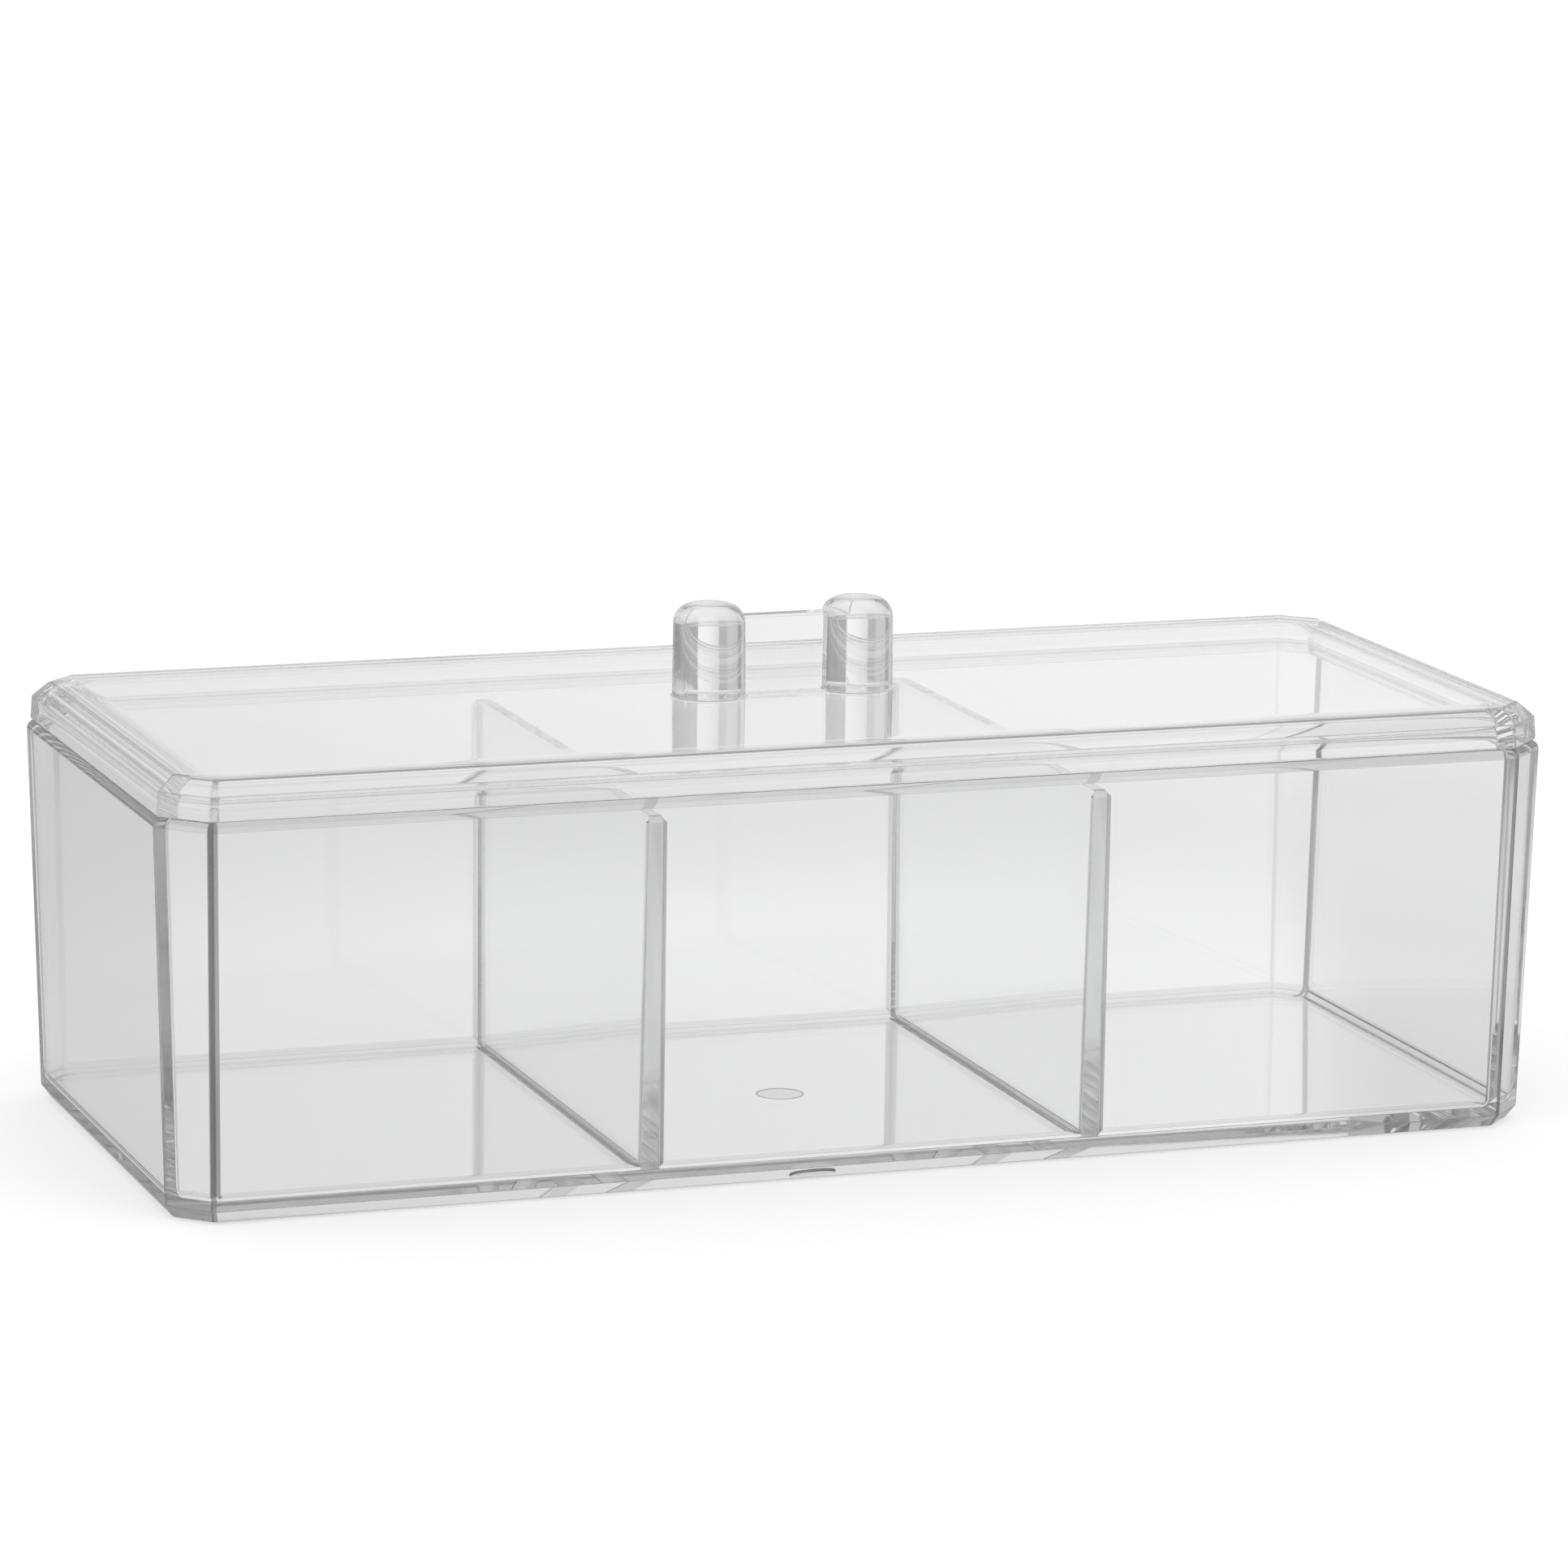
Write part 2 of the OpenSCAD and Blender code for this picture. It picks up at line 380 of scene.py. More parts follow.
def profile_curve(tree, bends):
    """A poly curve through bends, each (inset, height, radius, painted edge shade, steps), rounded at each."""
    line = shape_node(tree, "GeometryNodeCurvePrimitiveLine", {}, {})
    spread = shape_node(
        tree, "GeometryNodeResampleCurve", {}, {"Curve": line.outputs["Curve"], "Count": len(bends)}
    )
    index = tree.nodes.new("GeometryNodeInputIndex").outputs["Index"]
    places = [joined_vector(tree, inset, height, 0) for inset, height, *_ in bends]
    placed = shape_node(
        tree, "GeometryNodeSetPosition", {},
        {"Geometry": spread.outputs["Curve"], "Position": switched(tree, "VECTOR", index, places)},
    )
    curve = placed.outputs["Geometry"]
    marks = switched(tree, "FLOAT", index, [mark for *_, mark, _ in bends])
    for label, value in (("bend", index), (EDGE_SHADE_ATTRIBUTE, marks)):
        stored = shape_node(
            tree, "GeometryNodeStoreNamedAttribute", {"data_type": "FLOAT", "domain": "POINT"},
            {"Geometry": curve, "Name": label, "Value": value},
        )
        curve = stored.outputs["Geometry"]
    radii = switched(tree, "FLOAT", index, [radius for _, _, radius, _, _ in bends])
    steps = switched(
        tree, "INT", index, [number for *_, number in bends]
    )
    rounded = shape_node(
        tree, "GeometryNodeFilletCurve", {"mode": "POLY"},
        {"Curve": curve, "Radius": radii, "Count": steps},
    )
    return rounded.outputs["Curve"]


def eight_sided_group():
    """A closed moulding: the box's outline at each level of a profile, drawn in by its inset."""
    tree, given, made = new_tree(
        "GeometryNodeTree", "eight-sided moulding",
        [
            ("NodeSocketGeometry", "Profile"),
            ("NodeSocketFloat", "Length", 0.23),
            ("NodeSocketFloat", "Width", 0.1),
            ("NodeSocketFloat", "Corner Leg", 0.007),
            ("NodeSocketFloat", "Corner Radius", 0.001),
            ("NodeSocketFloat", "Corner Mark", 1),
        ],
        [("NodeSocketGeometry", "Geometry")],
    )
    columns = 8 * (CORNER_STEPS + 1)
    profile = given.outputs["Profile"]
    size = shape_node(
        tree, "GeometryNodeAttributeDomainSize", {"component": "CURVE"}, {"Geometry": profile}
    )
    rows = Worked(size.outputs["Point Count"]) - 1
    stack = shape_node(
        tree, "GeometryNodeMeshCylinder", {"fill_type": "NGON"},
        {"Vertices": columns, "Side Segments": rows, "Radius": 1.0, "Depth": rows},
    )
    x, y, z = split_vector(tree, tree.nodes.new("GeometryNodeInputPosition").outputs["Position"])
    around = (y.by("ARCTAN2", x) * (columns / (2 * math.pi)) + columns).by("ROUND")
    counted = shape_node(
        tree, "GeometryNodeCaptureAttribute", {"domain": "POINT"},
        {"Geometry": stack.outputs["Mesh"]},
    )
    counted.capture_items.new("FLOAT", "Row")
    counted.capture_items.new("FLOAT", "Column")
    feed(tree, counted.inputs["Row"], (z + rows / 2).by("ROUND"))
    feed(tree, counted.inputs["Column"], around.by("MODULO", columns))
    row, column = (Worked(counted.outputs[label]) for label in ("Row", "Column"))

    def at_level(kind, value, number):
        node = shape_node(
            tree, "GeometryNodeSampleIndex", {"data_type": kind, "domain": "POINT"},
            {"Geometry": profile, "Value": value, "Index": number},
        )
        return node.outputs["Value"]

    level = at_level(
        "FLOAT_VECTOR", tree.nodes.new("GeometryNodeInputPosition").outputs["Position"], row
    )
    inset, height, _ = split_vector(tree, level)
    corner = (column / (CORNER_STEPS + 1)).by("FLOOR")
    step = column.by("MODULO", CORNER_STEPS + 1)
    middle = (corner + 0.5) * (math.pi / 4)
    turned = middle + (step / CORNER_STEPS - 0.5) * (math.pi / 4)
    side_x, side_y = middle.by("COSINE"), middle.by("SINE")
    on_end = side_x.by("ABSOLUTE").by("GREATER_THAN", side_y.by("ABSOLUTE"))
    leg = Worked(given.outputs["Corner Leg"]) - inset * (2 - math.sqrt(2))
    radius = Worked(given.outputs["Corner Radius"])
    back = radius / math.cos(math.pi / 8)
    placed = []
    for label, side, cut, direction in (
        ("Length", side_x, on_end.from_(1), "COSINE"), ("Width", side_y, on_end, "SINE")
    ):
        half = Worked(given.outputs[label]) / 2 - inset - leg * cut
        placed.append(side.by("SIGN") * half - side * back + turned.by(direction) * radius)
    moved = shape_node(
        tree, "GeometryNodeSetPosition", {},
        {
            "Geometry": counted.outputs["Geometry"],
            "Position": joined_vector(tree, placed[0], placed[1], height),
        },
    )
    # A face lies in a fillet where both its levels come from one bend, or in a rounded corner. Both take painted
    # edge shade, and the corners take less of it at the back wall's two corners and at the left end's front corner.
    low, high = row.by("FLOOR"), row.by("CEIL")
    named = {}
    for label in ("bend", EDGE_SHADE_ATTRIBUTE):
        node = shape_node(tree, "GeometryNodeInputNamedAttribute", {}, {"Name": label})
        named[label] = node.outputs["Attribute"]
    bends = [Worked(at_level("FLOAT", named["bend"], number)) for number in (low, high)]
    same_bend = bends[0].by("COMPARE", bends[1], 0.1) * high.by("GREATER_THAN", low)
    fillet_mark = Worked(at_level("FLOAT", named[EDGE_SHADE_ATTRIBUTE], low)) * same_bend
    in_corner = column.by("FLOOR").by("MODULO", CORNER_STEPS + 1).by("LESS_THAN", CORNER_STEPS - 0.5)
    at_back = (column / (CORNER_STEPS + 1)).by("FLOOR").by("COMPARE", 1.5, 0.6)
    in_corner = in_corner * high.by("GREATER_THAN", low) * (at_back * (1 - BACK_CORNER_SHADE)).from_(1)
    at_left = (column / (CORNER_STEPS + 1)).by("FLOOR").by("COMPARE", 4, 0.1)
    in_corner = in_corner * Worked(given.outputs["Corner Mark"]) * (at_left * (1 - LEFT_CORNER_SHADE)).from_(1)
    marked = shape_node(
        tree, "GeometryNodeStoreNamedAttribute", {"data_type": "FLOAT", "domain": "FACE"},
        {
            "Geometry": moved.outputs["Geometry"], "Name": EDGE_SHADE_ATTRIBUTE,
            "Value": fillet_mark.by("MAXIMUM", in_corner),
        },
    )
    tree.links.new(marked.outputs["Geometry"], made.inputs["Geometry"])
    return tree


def sizes_of(given, labels):
    return [Worked(given.outputs[label]) for label in labels]


def moulding(tree, given, profile):
    """The eight-sided moulding on a profile, inside a piece's own tree."""
    group = tree.nodes.new("GeometryNodeGroup")
    group.node_tree = EIGHT_SIDED
    feed(tree, group.inputs["Profile"], profile)
    for label in ("Length", "Width", "Corner Leg", "Corner Radius", "Corner Mark"):
        feed(tree, group.inputs[label], given.outputs[label])
    return group.outputs["Geometry"]


def size_inputs(labels):
    return [("NodeSocketFloat", label, 0.001) for label in labels] + [("NodeSocketMaterial", "Material")]


def tray_tree():
    """The tray: bevelled foot, drafted wall, rounded rim, filleted floor, gate mark beneath."""
    labels = [
        "Length", "Width", "Height", "Slope", "Corner Leg", "Corner Radius", "Corner Mark", "Wall",
        "Floor", "Floor Fillet", "Rim Radius", "Bevel In", "Bevel Up", "Foot Radius", "Edge Radius",
        "Gate Radius", "Gate Depth",
    ]
    tree, given, made = new_tree(
        "GeometryNodeTree", "tray", size_inputs(labels), [("NodeSocketGeometry", "Geometry")]
    )
    size = {label: Worked(given.outputs[label]) for label in labels}
    slope, height, edge = size["Slope"], size["Height"], size["Edge Radius"]

    def outside(z):
        return (height - size["Rim Radius"] - z) * slope

    foot = outside(0) + size["Bevel In"]
    floor_corner = outside(size["Floor"]) + size["Wall"]
    bends = [
        (foot + FLAT_PAST, 0, 0, 0, 1),
        (foot, 0, size["Foot Radius"], FOOT_SHADE, EDGE_STEPS),
        (outside(size["Bevel Up"]), size["Bevel Up"], edge, FOOT_SHADE, EDGE_STEPS),
        (outside(height), height, size["Rim Radius"], RIM_SHADE, FILLET_STEPS),
        (outside(height) + size["Wall"], height, edge, FOOT_SHADE, EDGE_STEPS),
        (floor_corner, size["Floor"], size["Floor Fillet"], FILLET_SHADE, FILLET_STEPS),
        (floor_corner + size["Floor Fillet"] + FLAT_PAST, size["Floor"], 0, 0, 1),
    ]
    solid = moulding(tree, given, profile_curve(tree, bends))
    pin = shape_node(
        tree, "GeometryNodeMeshCylinder", {"fill_type": "NGON"},
        {"Vertices": 64, "Radius": size["Gate Radius"], "Depth": size["Gate Depth"] * 2},
    )
    recessed = shape_node(tree, "GeometryNodeMeshBoolean", {"operation": "DIFFERENCE", "solver": "EXACT"}, {})
    tree.links.new(solid, recessed.inputs["Mesh 1"])
    tree.links.new(pin.outputs["Mesh"], recessed.inputs["Mesh 2"])
    finished_shape(tree, recessed.outputs["Mesh"], given, made)
    return tree


def lid_tree():
    """The lid: filleted plate, locating lip with a lead, skirt that stands on the rim, bevel."""
    labels = [
        "Length", "Width", "Slope", "Skirt Slope", "Corner Leg", "Corner Radius", "Corner Mark",
        "Seat", "Seat Gap", "Top", "Plate", "Fillet", "Lip Depth", "Lip Inset", "Lip Thickness", "Lead",
        "Skirt Inset", "Skirt Height", "Bevel In", "Edge Radius", "Top Radius",
    ]
    tree, given, made = new_tree(
        "GeometryNodeTree", "lid", size_inputs(labels), [("NodeSocketGeometry", "Geometry")]
    )
    size = {label: Worked(given.outputs[label]) for label in labels}
    edge, seat, top = size["Edge Radius"], size["Seat"], size["Top"]
    lip_foot = seat - size["Lip Depth"]
    inner = size["Lip Inset"] + size["Lip Thickness"]
    ceiling = top - size["Plate"]
    inner_head = inner + (ceiling - lip_foot) * size["Slope"]
    skirt_head = size["Skirt Inset"] + size["Skirt Height"] * size["Skirt Slope"]
    skirt_top = seat + size["Skirt Height"]
    bends = [
        (inner_head + size["Fillet"] + FLAT_PAST, ceiling, 0, 0, 1),
        (inner_head, ceiling, size["Fillet"], LID_FILLET_SHADE, FILLET_STEPS),
        (inner, lip_foot, edge, LID_EDGE_SHADE, EDGE_STEPS),
        (size["Lip Inset"] + size["Lead"], lip_foot, edge * 0.6, LID_EDGE_SHADE, EDGE_STEPS),
        (size["Lip Inset"], lip_foot + size["Lead"], edge * 0.6, LID_EDGE_SHADE, EDGE_STEPS),
        (size["Lip Inset"], seat + size["Seat Gap"], edge, LID_EDGE_SHADE, EDGE_STEPS),
        (size["Skirt Inset"], seat + size["Seat Gap"], edge, LID_EDGE_SHADE, EDGE_STEPS),
        (skirt_head, skirt_top, edge, TOP_EDGE_SHADE, EDGE_STEPS),
        (skirt_head + size["Bevel In"], top, size["Top Radius"], TOP_EDGE_SHADE, FILLET_STEPS),
        (skirt_head + size["Bevel In"] + FLAT_PAST, top, 0, 0, 1),
    ]
    finished_shape(tree, moulding(tree, given, profile_curve(tree, bends)), given, made)
    return tree


def divider_tree():
    """A divider: a panel that tapers upwards and flares where it meets the floor and the walls."""
    labels = [
        "Place", "Foot Level", "Height", "Foot Thickness", "Top Thickness", "Slope", "Reach",
        "Flare", "Floor Fillet", "Corner", "Overlap",
    ]
    tree, given, made = new_tree(
        "GeometryNodeTree", "divider", size_inputs(labels), [("NodeSocketGeometry", "Geometry")]
    )
    size = {label: Worked(given.outputs[label]) for label in labels}
    foot, height, flare = size["Foot Level"], size["Height"], size["Flare"]
    floor_fillet, corner = size["Floor Fillet"], size["Corner"]
    # Rows: up the flare at the foot, past the tray's fillet, and round the upper corners
    flare_steps, past_steps, corner_steps = 5, 4, 6
    rows = flare_steps + past_steps + 1 + corner_steps
    columns = 2 * flare_steps + 1
    block = shape_node(
        tree, "GeometryNodeMeshCube", {},
        {"Size": (2, columns, rows), "Vertices X": 2, "Vertices Y": columns + 1, "Vertices Z": rows + 1},
    )
    x, y, z = split_vector(tree, tree.nodes.new("GeometryNodeInputPosition").outputs["Position"])
    row = (z + rows / 2).by("ROUND")
    from_end = (y.by("ABSOLUTE").from_(columns / 2)).by("ROUND")
    quarter = math.pi / 2
    foot_turn = (row / flare_steps).clamped().from_(1) * quarter
    straight = height - corner
    level = (
        foot + flare * foot_turn.by("SINE").from_(1)
        + (floor_fillet - flare) * ((row - flare_steps) / past_steps).clamped()
        + (straight - foot - floor_fillet) * (row - flare_steps - past_steps).clamped()
        + corner * (((row - flare_steps - past_steps - 1) / corner_steps).clamped() * quarter).by("SINE")
    )
    wall = size["Reach"] + (level - height) * size["Slope"]
    end_turn = (from_end / flare_steps).from_(1) * quarter

    def rounded_end(radius, beyond):
        """How far out a quarter round of a radius reaches, at a distance past its start."""
        return wall - radius + (radius * radius - beyond * beyond).by("MAXIMUM", 0).by("SQRT")

    low_room = rounded_end(floor_fillet, (foot + floor_fillet - level).by("MAXIMUM", 0))
    high_room = rounded_end(corner, (level - straight).by("MAXIMUM", 0))
    out = wall - flare * end_turn.by("SINE").from_(1)
    out = out.by("MINIMUM", low_room).by("MINIMUM", high_room) + size["Overlap"]
    spread = (out - wall + flare).by("MAXIMUM", 0).by("MINIMUM", flare)
    end_flare = flare - (flare * flare - spread * spread).by("MAXIMUM", 0).by("SQRT")
    share = (level - foot) / (height - foot)
    half = (size["Foot Thickness"] - (size["Foot Thickness"] - size["Top Thickness"]) * share) / 2
    half = half + flare * foot_turn.by("COSINE").from_(1) + end_flare
    sunk = level - size["Overlap"] * row.clamped().from_(1)
    placed = joined_vector(
        tree, size["Place"] + x.by("SIGN") * half, y.by("SIGN") * out, sunk
    )
    end_flared, foot_flared = (step.by("LESS_THAN", flare_steps - 0.5) for step in (from_end, row))
    # Painted shade: a dark line down the right-hand side of the front end flare
    right_flare_shaded = end_flared * x.by("GREATER_THAN", 0.5) * y.by("LESS_THAN", 0) * RIGHT_FLARE_SHADE
    marked = shape_node(
        tree, "GeometryNodeStoreNamedAttribute", {"data_type": "FLOAT", "domain": "FACE"},
        {
            "Geometry": block.outputs["Mesh"], "Name": EDGE_SHADE_ATTRIBUTE,
            "Value": (end_flared.by("MAXIMUM", foot_flared) * FLARE_SHADE).by("MAXIMUM", right_flare_shaded),
        },
    )
    moved = shape_node(
        tree, "GeometryNodeSetPosition", {},
        {"Geometry": marked.outputs["Geometry"], "Position": placed},
    )
    welded = shape_node(
        tree, "GeometryNodeMergeByDistance", {},
        {"Geometry": moved.outputs["Geometry"], "Distance": 0.002 * MM},
    )
    finished_shape(tree, welded.outputs["Geometry"], given, made)
    return tree


# Pieces

def copy_of_node(node, name):
    """A merged copy of a CAD node's mesh, as a new object at the origin."""
    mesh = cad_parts[node].data.copy()
    mesh.name = name
    work = bmesh.new()
    work.from_mesh(mesh)
    bmesh.ops.remove_doubles(work, verts=work.verts, dist=0.002 * MM)
    bmesh.ops.dissolve_limit(
        work, angle_limit=math.radians(0.3), verts=work.verts, edges=work.edges
    )
    work.to_mesh(mesh)
    work.free()
    mesh.materials.clear()
    piece = bpy.data.objects.new(name, mesh)
    bpy.context.collection.objects.link(piece)
    return piece


def soften_edges(piece, sharp_angle, edge_shade):
    """Rounds every sharp edge and gives what it makes the painted edge shade given."""
    work = bmesh.new()
    work.from_mesh(piece.data)
    layers = work.faces.layers.float
    mark = layers.get(EDGE_SHADE_ATTRIBUTE) or layers.new(EDGE_SHADE_ATTRIBUTE)
    sharp = [edge for edge in work.edges if edge.calc_face_angle(0) > sharp_angle]
    made = bmesh.ops.bevel(
        work, geom=sharp, offset=EDGE_RADIUS, offset_type="OFFSET", segments=3, profile=0.5,
        affect="EDGES", clamp_overlap=True, miter_outer="SHARP",
    )
    for face in made["faces"]:
        face[mark] = edge_shade
    work.to_mesh(piece.data)
    work.free()


def finish_piece(piece, node, body):
    for face in piece.data.polygons:
        face.use_smooth = True
    weighted = piece.modifiers.new("flat faces", "WEIGHTED_NORMAL")
    weighted.keep_sharp = False
    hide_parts(node)
    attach(piece, body)


def rim_of_tray():
    low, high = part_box("tray")
    return high.x - low.x, high.y - low.y, high.z


def make_tray(material):
    length, width, height = rim_of_tray()
    values = {
        "Length": length, "Width": width, "Height": height, "Slope": DRAFT_SLOPE,
        "Corner Leg": CORNER_LEG, "Corner Radius": TRAY_CORNER_RADIUS, "Corner Mark": 1.0, "Wall": WALL,
        "Floor": FLOOR_THICKNESS, "Floor Fillet": FLOOR_FILLET, "Rim Radius": RIM_RADIUS,
        "Bevel In": FOOT_BEVEL[0], "Bevel Up": FOOT_BEVEL[1], "Edge Radius": MOULD_EDGE_RADIUS,
        "Foot Radius": FOOT_EDGE_RADIUS, "Gate Radius": GATE_RADIUS, "Gate Depth": GATE_DEPTH, "Material": material,
    }
    piece = made_by(tray_tree(), "tray_moulding", values)
    soften_edges(piece, GATE_ANGLE, GATE_SHADE)
    # The whole gate recess takes the painted gate shade too
    marks = piece.data.attributes[EDGE_SHADE_ATTRIBUTE].data
    for face, mark in zip(piece.data.polygons, marks):
        if face.center.xy.length < GATE_RADIUS and face.center.z < GATE_DEPTH + EDGE_RADIUS:
            mark.value = GATE_SHADE
    finish_piece(piece, "tray", "tray_body")


def make_dividers(material):
    """The panels reach a hair into the walls and the floor, as a solvent joint does."""
    _, width, rim = rim_of_tray()
    tree = divider_tree()
    for node in ("left_divider", "right_divider"):
        low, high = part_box(node)
        values = {
            "Place": (low.x + high.x) / 2, "Foot Level": FLOOR_THICKNESS, "Height": high.z,
            "Foot Thickness": DIVIDER_FOOT, "Top Thickness": DIVIDER_TOP, "Slope": DRAFT_SLOPE,
            "Reach": width / 2 - WALL - (rim - RIM_RADIUS - high.z) * DRAFT_SLOPE,
            "Flare": DIVIDER_FLARE, "Floor Fillet": FLOOR_FILLET, "Corner": DIVIDER_CORNER,
            "Overlap": CEMENT_OVERLAP, "Material": material,
        }
        piece = made_by(tree, node + "_panel", values)
        soften_edges(piece, SHARP_ANGLE, FOOT_SHADE)
        finish_piece(piece, node, "tray_body")


def make_lid(material):
    """The skirt stands a hair off the rim, as a loose lid does."""
    length, width, rim = rim_of_tray()
    values = {
        "Length": length, "Width": width, "Slope": DRAFT_SLOPE, "Skirt Slope": SKIRT_SLOPE,
        "Corner Leg": CORNER_LEG, "Corner Radius": LID_CORNER_RADIUS, "Corner Mark": LID_EDGE_SHADE, "Seat": rim,
        "Seat Gap": SEAT_GAP, "Top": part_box("lid")[1].z, "Plate": PLATE, "Fillet": LID_FILLET,
        "Lip Depth": LIP_DEPTH, "Lip Inset": WALL + LIP_CLEARANCE, "Lip Thickness": LIP_THICKNESS,
        "Lead": LIP_LEAD, "Skirt Inset": SKIRT_INSET, "Skirt Height": SKIRT_HEIGHT,
        "Bevel In": TOP_BEVEL_IN, "Edge Radius": MOULD_EDGE_RADIUS, "Top Radius": TOP_EDGE_RADIUS,
        "Material": material,
    }
    finish_piece(made_by(lid_tree(), "lid_moulding", values), "lid", "lid_body")


def make_handle(material):
    """The posts reach a hair into the plate, as a solvent joint does."""
    piece = copy_of_node("handle", "handle_moulding")
    piece.data.materials.append(material)
    low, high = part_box("handle")
    grow = 1 + CEMENT_OVERLAP / (high.z - low.z)
    for vertex in piece.data.vertices:
        vertex.co.z = high.z + (vertex.co.z - high.z) * grow
    soften_edges(piece, SHARP_ANGLE, HANDLE_EDGE_SHADE)
    finish_piece(piece, "handle", "lid_body")


# Stage

def ramp(tree, value, low, high, dark, bright):
    node = tree.nodes.new("ShaderNodeMapRange")
    node.interpolation_type = "SMOOTHSTEP"
    node.inputs["From Min"].default_value = low
    node.inputs["From Max"].default_value = high
    node.inputs["To Min"].default_value = dark
    node.inputs["To Max"].default_value = bright
    tree.links.new(value, node.inputs["Value"])
    return node.outputs["Result"]


def make_camera():
    turn = Matrix.Rotation(math.radians(CAMERA_TURN), 3, "Z")
    tilt = Matrix.Rotation(math.radians(CAMERA_TILT), 3, "X")
    roll = Matrix.Rotation(math.radians(CAMERA_ROLL), 3, "Z")
    level = Matrix(((1, 0, 0), (0, 0, -1), (0, 1, 0)))
    view = roll @ tilt @ level @ turn
    eye = view.transposed() @ Vector(BASE_IN_VIEW) * -MM
    right, down, away = view
    data = bpy.data.cameras.new("camera")
    data.sensor_width = SENSOR_WIDTH
    data.lens = FOCAL_PIXELS / PHOTO_SIZE[0] * SENSOR_WIDTH
    data.clip_start = 0.05
    data.clip_end = 200
    camera = bpy.data.objects.new("camera", data)
    bpy.context.collection.objects.link(camera)
    axes = Matrix((right, -down, -away)).transposed()
    camera.matrix_world = Matrix.Translation(eye) @ axes.to_4x4()
    bpy.context.scene.camera = camera


def mixed(tree, factor, a, b):
    mix = tree.nodes.new("ShaderNodeMix")
    mix.data_type = "FLOAT"
    tree.links.new(factor, mix.inputs["Factor"])
    for label, given in (("A", a), ("B", b)):
        if isinstance(given, bpy.types.NodeSocket):
            tree.links.new(given, mix.inputs[label])
        else:
            mix.inputs[label].default_value = given
    return mix.outputs["Result"]


def by_ray(tree, straight, through, mirrored, other):
    """A value for each kind of ray: from the camera, out of plastic, off a mirror, the rest."""
    ray = tree.nodes.new("ShaderNodeLightPath")
    value = mixed(tree, ray.outputs["Is Glossy Ray"], other, mirrored)
    value = mixed(tree, ray.outputs["Is Transmission Ray"], value, through)
    return mixed(tree, ray.outputs["Is Camera Ray"], value, straight)


def room_group():
    """How bright the room is in a direction, by its turn round the box."""
    tree, given, made = new_tree(
        "ShaderNodeTree", "room", [("NodeSocketVector", "Direction", (0, 1, 0))],
        [("NodeSocketFloat", "Brightness")],
    )
    turned = tree.nodes.new("ShaderNodeVectorRotate")
    turned.rotation_type = "Z_AXIS"
    turned.inputs["Angle"].default_value = math.radians(CAMERA_TURN)
    tree.links.new(given.outputs["Direction"], turned.inputs["Vector"])
    split = tree.nodes.new("ShaderNodeSeparateXYZ")
    tree.links.new(turned.outputs["Vector"], split.inputs[0])
    turn = math_node(tree, "ARCTAN2", split.outputs["X"], split.outputs["Y"])
    place = math_node(tree, "ADD", math_node(tree, "MULTIPLY", turn, 1 / (2 * math.pi)), 0.5)
    screens = tree.nodes.new("ShaderNodeValToRGB")
    stops = screens.color_ramp.elements
    for _ in ROOM[2:]:
        stops.new(0.5)
    for stop, (degrees, brightness) in zip(stops, ROOM):
        stop.position = degrees / 360 + 0.5
        stop.color = (brightness, brightness, brightness, 1)
    tree.links.new(place, screens.inputs[0])
    tree.links.new(screens.outputs["Color"], made.inputs["Brightness"])
    return tree


def room_light(tree, direction):
    group = tree.nodes.new("ShaderNodeGroup")
    group.node_tree = ROOM_GROUP
    tree.links.new(direction, group.inputs["Direction"])
    return group.outputs["Brightness"]


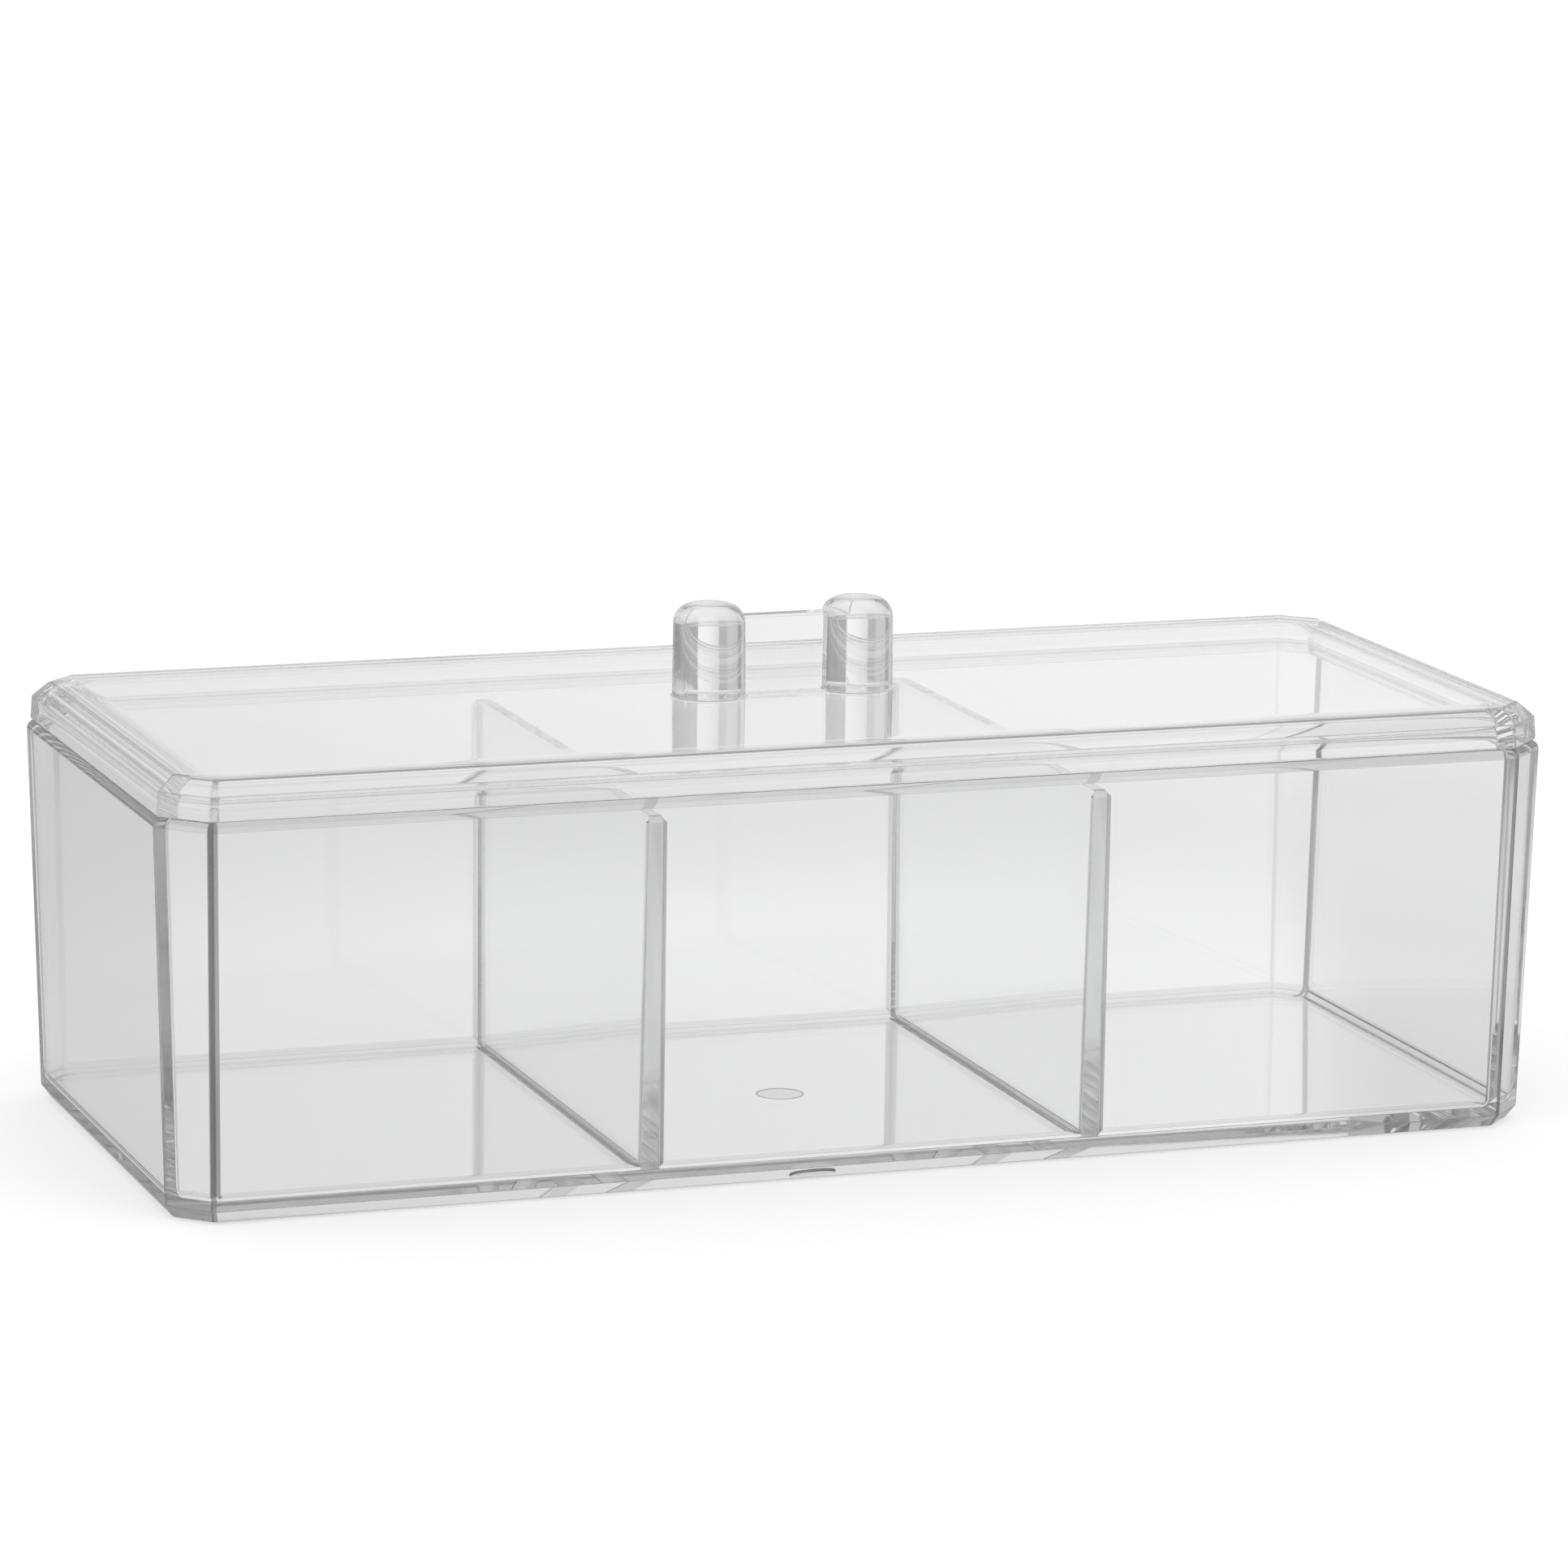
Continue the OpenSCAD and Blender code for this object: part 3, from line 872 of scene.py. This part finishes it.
def make_floor():
    """White paper that keeps a shadow. For rays out of plastic it glows, with painted light beneath the box and
    painted shade beside its right end, and they see the room past the paper's edge.
    """
    material = bpy.data.materials.new("white floor")
    material.use_nodes = True
    tree = material.node_tree
    tree.nodes.clear()
    paper = tree.nodes.new("ShaderNodeBsdfDiffuse")
    tree.links.new(by_ray(tree, *FLOOR_MATT), paper.inputs["Color"])
    place = tree.nodes.new("ShaderNodeTexCoord")
    split = tree.nodes.new("ShaderNodeSeparateXYZ")
    tree.links.new(place.outputs["Object"], split.inputs[0])
    sideways = ramp(tree, split.outputs["X"], -0.25, 0.35, *FLOOR_THROUGH)
    distance = tree.nodes.new("ShaderNodeVectorMath")
    distance.operation = "LENGTH"
    tree.links.new(place.outputs["Object"], distance.inputs[0])
    # Painted light: the glow for rays out of plastic is brighter beneath the box
    beneath = ramp(tree, distance.outputs["Value"], *FLOOR_NEAR_END, FLOOR_NEAR, 1)
    # Painted shade on that glow beside the box's right end, along a slanted line, fading farther out
    slanted = math_node(tree, "MULTIPLY_ADD", split.outputs["Y"], -BESIDE_SLANT, split.outputs["X"])
    beside = ramp(tree, slanted, *BESIDE, 0, FLOOR_BESIDE_SHADE)
    faded = ramp(tree, distance.outputs["Value"], *BESIDE_END, 1, 0.4)
    dimmed = math_node(tree, "SUBTRACT", 1, math_node(tree, "MULTIPLY", beside, faded))
    near = math_node(tree, "MULTIPLY", math_node(tree, "MULTIPLY", sideways, beneath), dimmed)
    glow = tree.nodes.new("ShaderNodeEmission")
    tree.links.new(by_ray(tree, FLOOR_CAMERA, near, FLOOR_MIRRORED, 0), glow.inputs["Strength"])
    table = tree.nodes.new("ShaderNodeAddShader")
    tree.links.new(paper.outputs[0], table.inputs[0])
    tree.links.new(glow.outputs[0], table.inputs[1])
    past_edge = ramp(tree, distance.outputs["Value"], *TABLE_EDGE, 0, 1)
    opening = tree.nodes.new("ShaderNodeBsdfTransparent")
    ended = tree.nodes.new("ShaderNodeMixShader")
    tree.links.new(by_ray(tree, 0, past_edge, 0, 0), ended.inputs[0])
    tree.links.new(table.outputs[0], ended.inputs[1])
    tree.links.new(opening.outputs[0], ended.inputs[2])
    output = tree.nodes.new("ShaderNodeOutputMaterial")
    tree.links.new(ended.outputs[0], output.inputs["Surface"])
    half = FLOOR_SIZE / 2
    mesh = bpy.data.meshes.new("floor")
    corners = [(-half, -half), (half, -half), (half, half), (-half, half)]
    mesh.from_pydata([(x, y, 0) for x, y in corners], [], [(0, 1, 2, 3)])
    mesh.materials.append(material)
    floor = bpy.data.objects.new("floor", mesh)
    floor.location.z = -FLOOR_GAP
    bpy.context.collection.objects.link(floor)


def make_world():
    """A grey room with white screens round it and a softbox overhead."""
    world = bpy.data.worlds.new("studio")
    bpy.context.scene.world = world
    world.use_nodes = True
    tree = world.node_tree
    tree.nodes.clear()
    direction = tree.nodes.new("ShaderNodeTexCoord")
    split = tree.nodes.new("ShaderNodeSeparateXYZ")
    tree.links.new(direction.outputs["Generated"], split.inputs[0])
    height = math_node(tree, "ARCSINE", split.outputs["Z"], 0)
    level = math_node(tree, "ABSOLUTE", height)
    off_level = ramp(tree, level, *(math.radians(v) for v in HORIZON_HEIGHT), 0, 1)
    room = mixed(tree, off_level, HORIZON, room_light(tree, direction.outputs["Generated"]))
    above = ramp(tree, height, *(math.radians(v) for v in SCREEN_HEIGHT), 0, 1)
    room = mixed(tree, above, room, ROOM_ABOVE)
    overhead = ramp(tree, height, *(math.radians(v) for v in SOFTBOX_HEIGHT), 0, 1)
    room = mixed(tree, overhead, room, SOFTBOX)
    sky = tree.nodes.new("ShaderNodeBackground")
    sky.inputs["Color"].default_value = (1, 1, 1, 1)
    tree.links.new(by_ray(tree, 1, room, room, 0.5), sky.inputs["Strength"])
    output = tree.nodes.new("ShaderNodeOutputWorld")
    tree.links.new(sky.outputs[0], output.inputs["Surface"])


def make_sun(name, azimuth, elevation, spread, strength):
    data = bpy.data.lights.new(name, "SUN")
    data.angle = math.radians(spread)
    data.energy = strength
    lamp = bpy.data.objects.new(name, data)
    a, e = math.radians(azimuth), math.radians(elevation)
    towards = Vector((math.sin(a) * math.cos(e), -math.cos(a) * math.cos(e), math.sin(e)))
    lamp.visible_glossy = lamp.visible_transmission = False
    lamp.rotation_mode = "QUATERNION"
    lamp.rotation_quaternion = towards.to_track_quat("Z", "Y")
    bpy.context.collection.objects.link(lamp)


def set_rendering():
    scene = bpy.context.scene
    scene.view_settings.view_transform = "Standard"
    scene.cycles.max_bounces = 96
    scene.cycles.transmission_bounces = 96
    scene.cycles.glossy_bounces = 96
    scene.cycles.transparent_max_bounces = 32
    scene.cycles.caustics_reflective = False
    scene.cycles.caustics_refractive = False


tray_plastic = clear_plastic("tray plastic", (0.967, 0.969, 0.969), 1.6, 0.000005, 0.02)
divider_plastic = clear_plastic("divider plastic", (0.965, 0.967, 0.967), 0.4, 0.00001, 0.008)
lid_plastic = clear_plastic("lid plastic", (0.99, 0.992, 0.992), 0.5, 0.000002, 0.01)
handle_plastic = clear_plastic("handle plastic", (1, 1, 1), 0.4, 0.00002, 0.0)

EIGHT_SIDED = eight_sided_group()
make_tray(tray_plastic)
make_dividers(divider_plastic)
make_lid(lid_plastic)
make_handle(handle_plastic)

ROOM_GROUP = room_group()
make_camera()
make_floor()
make_world()
make_sun("top light", 20, 65, 30, 1.0)
make_sun("side light", -70, 40, 20, 0.5)
set_rendering()
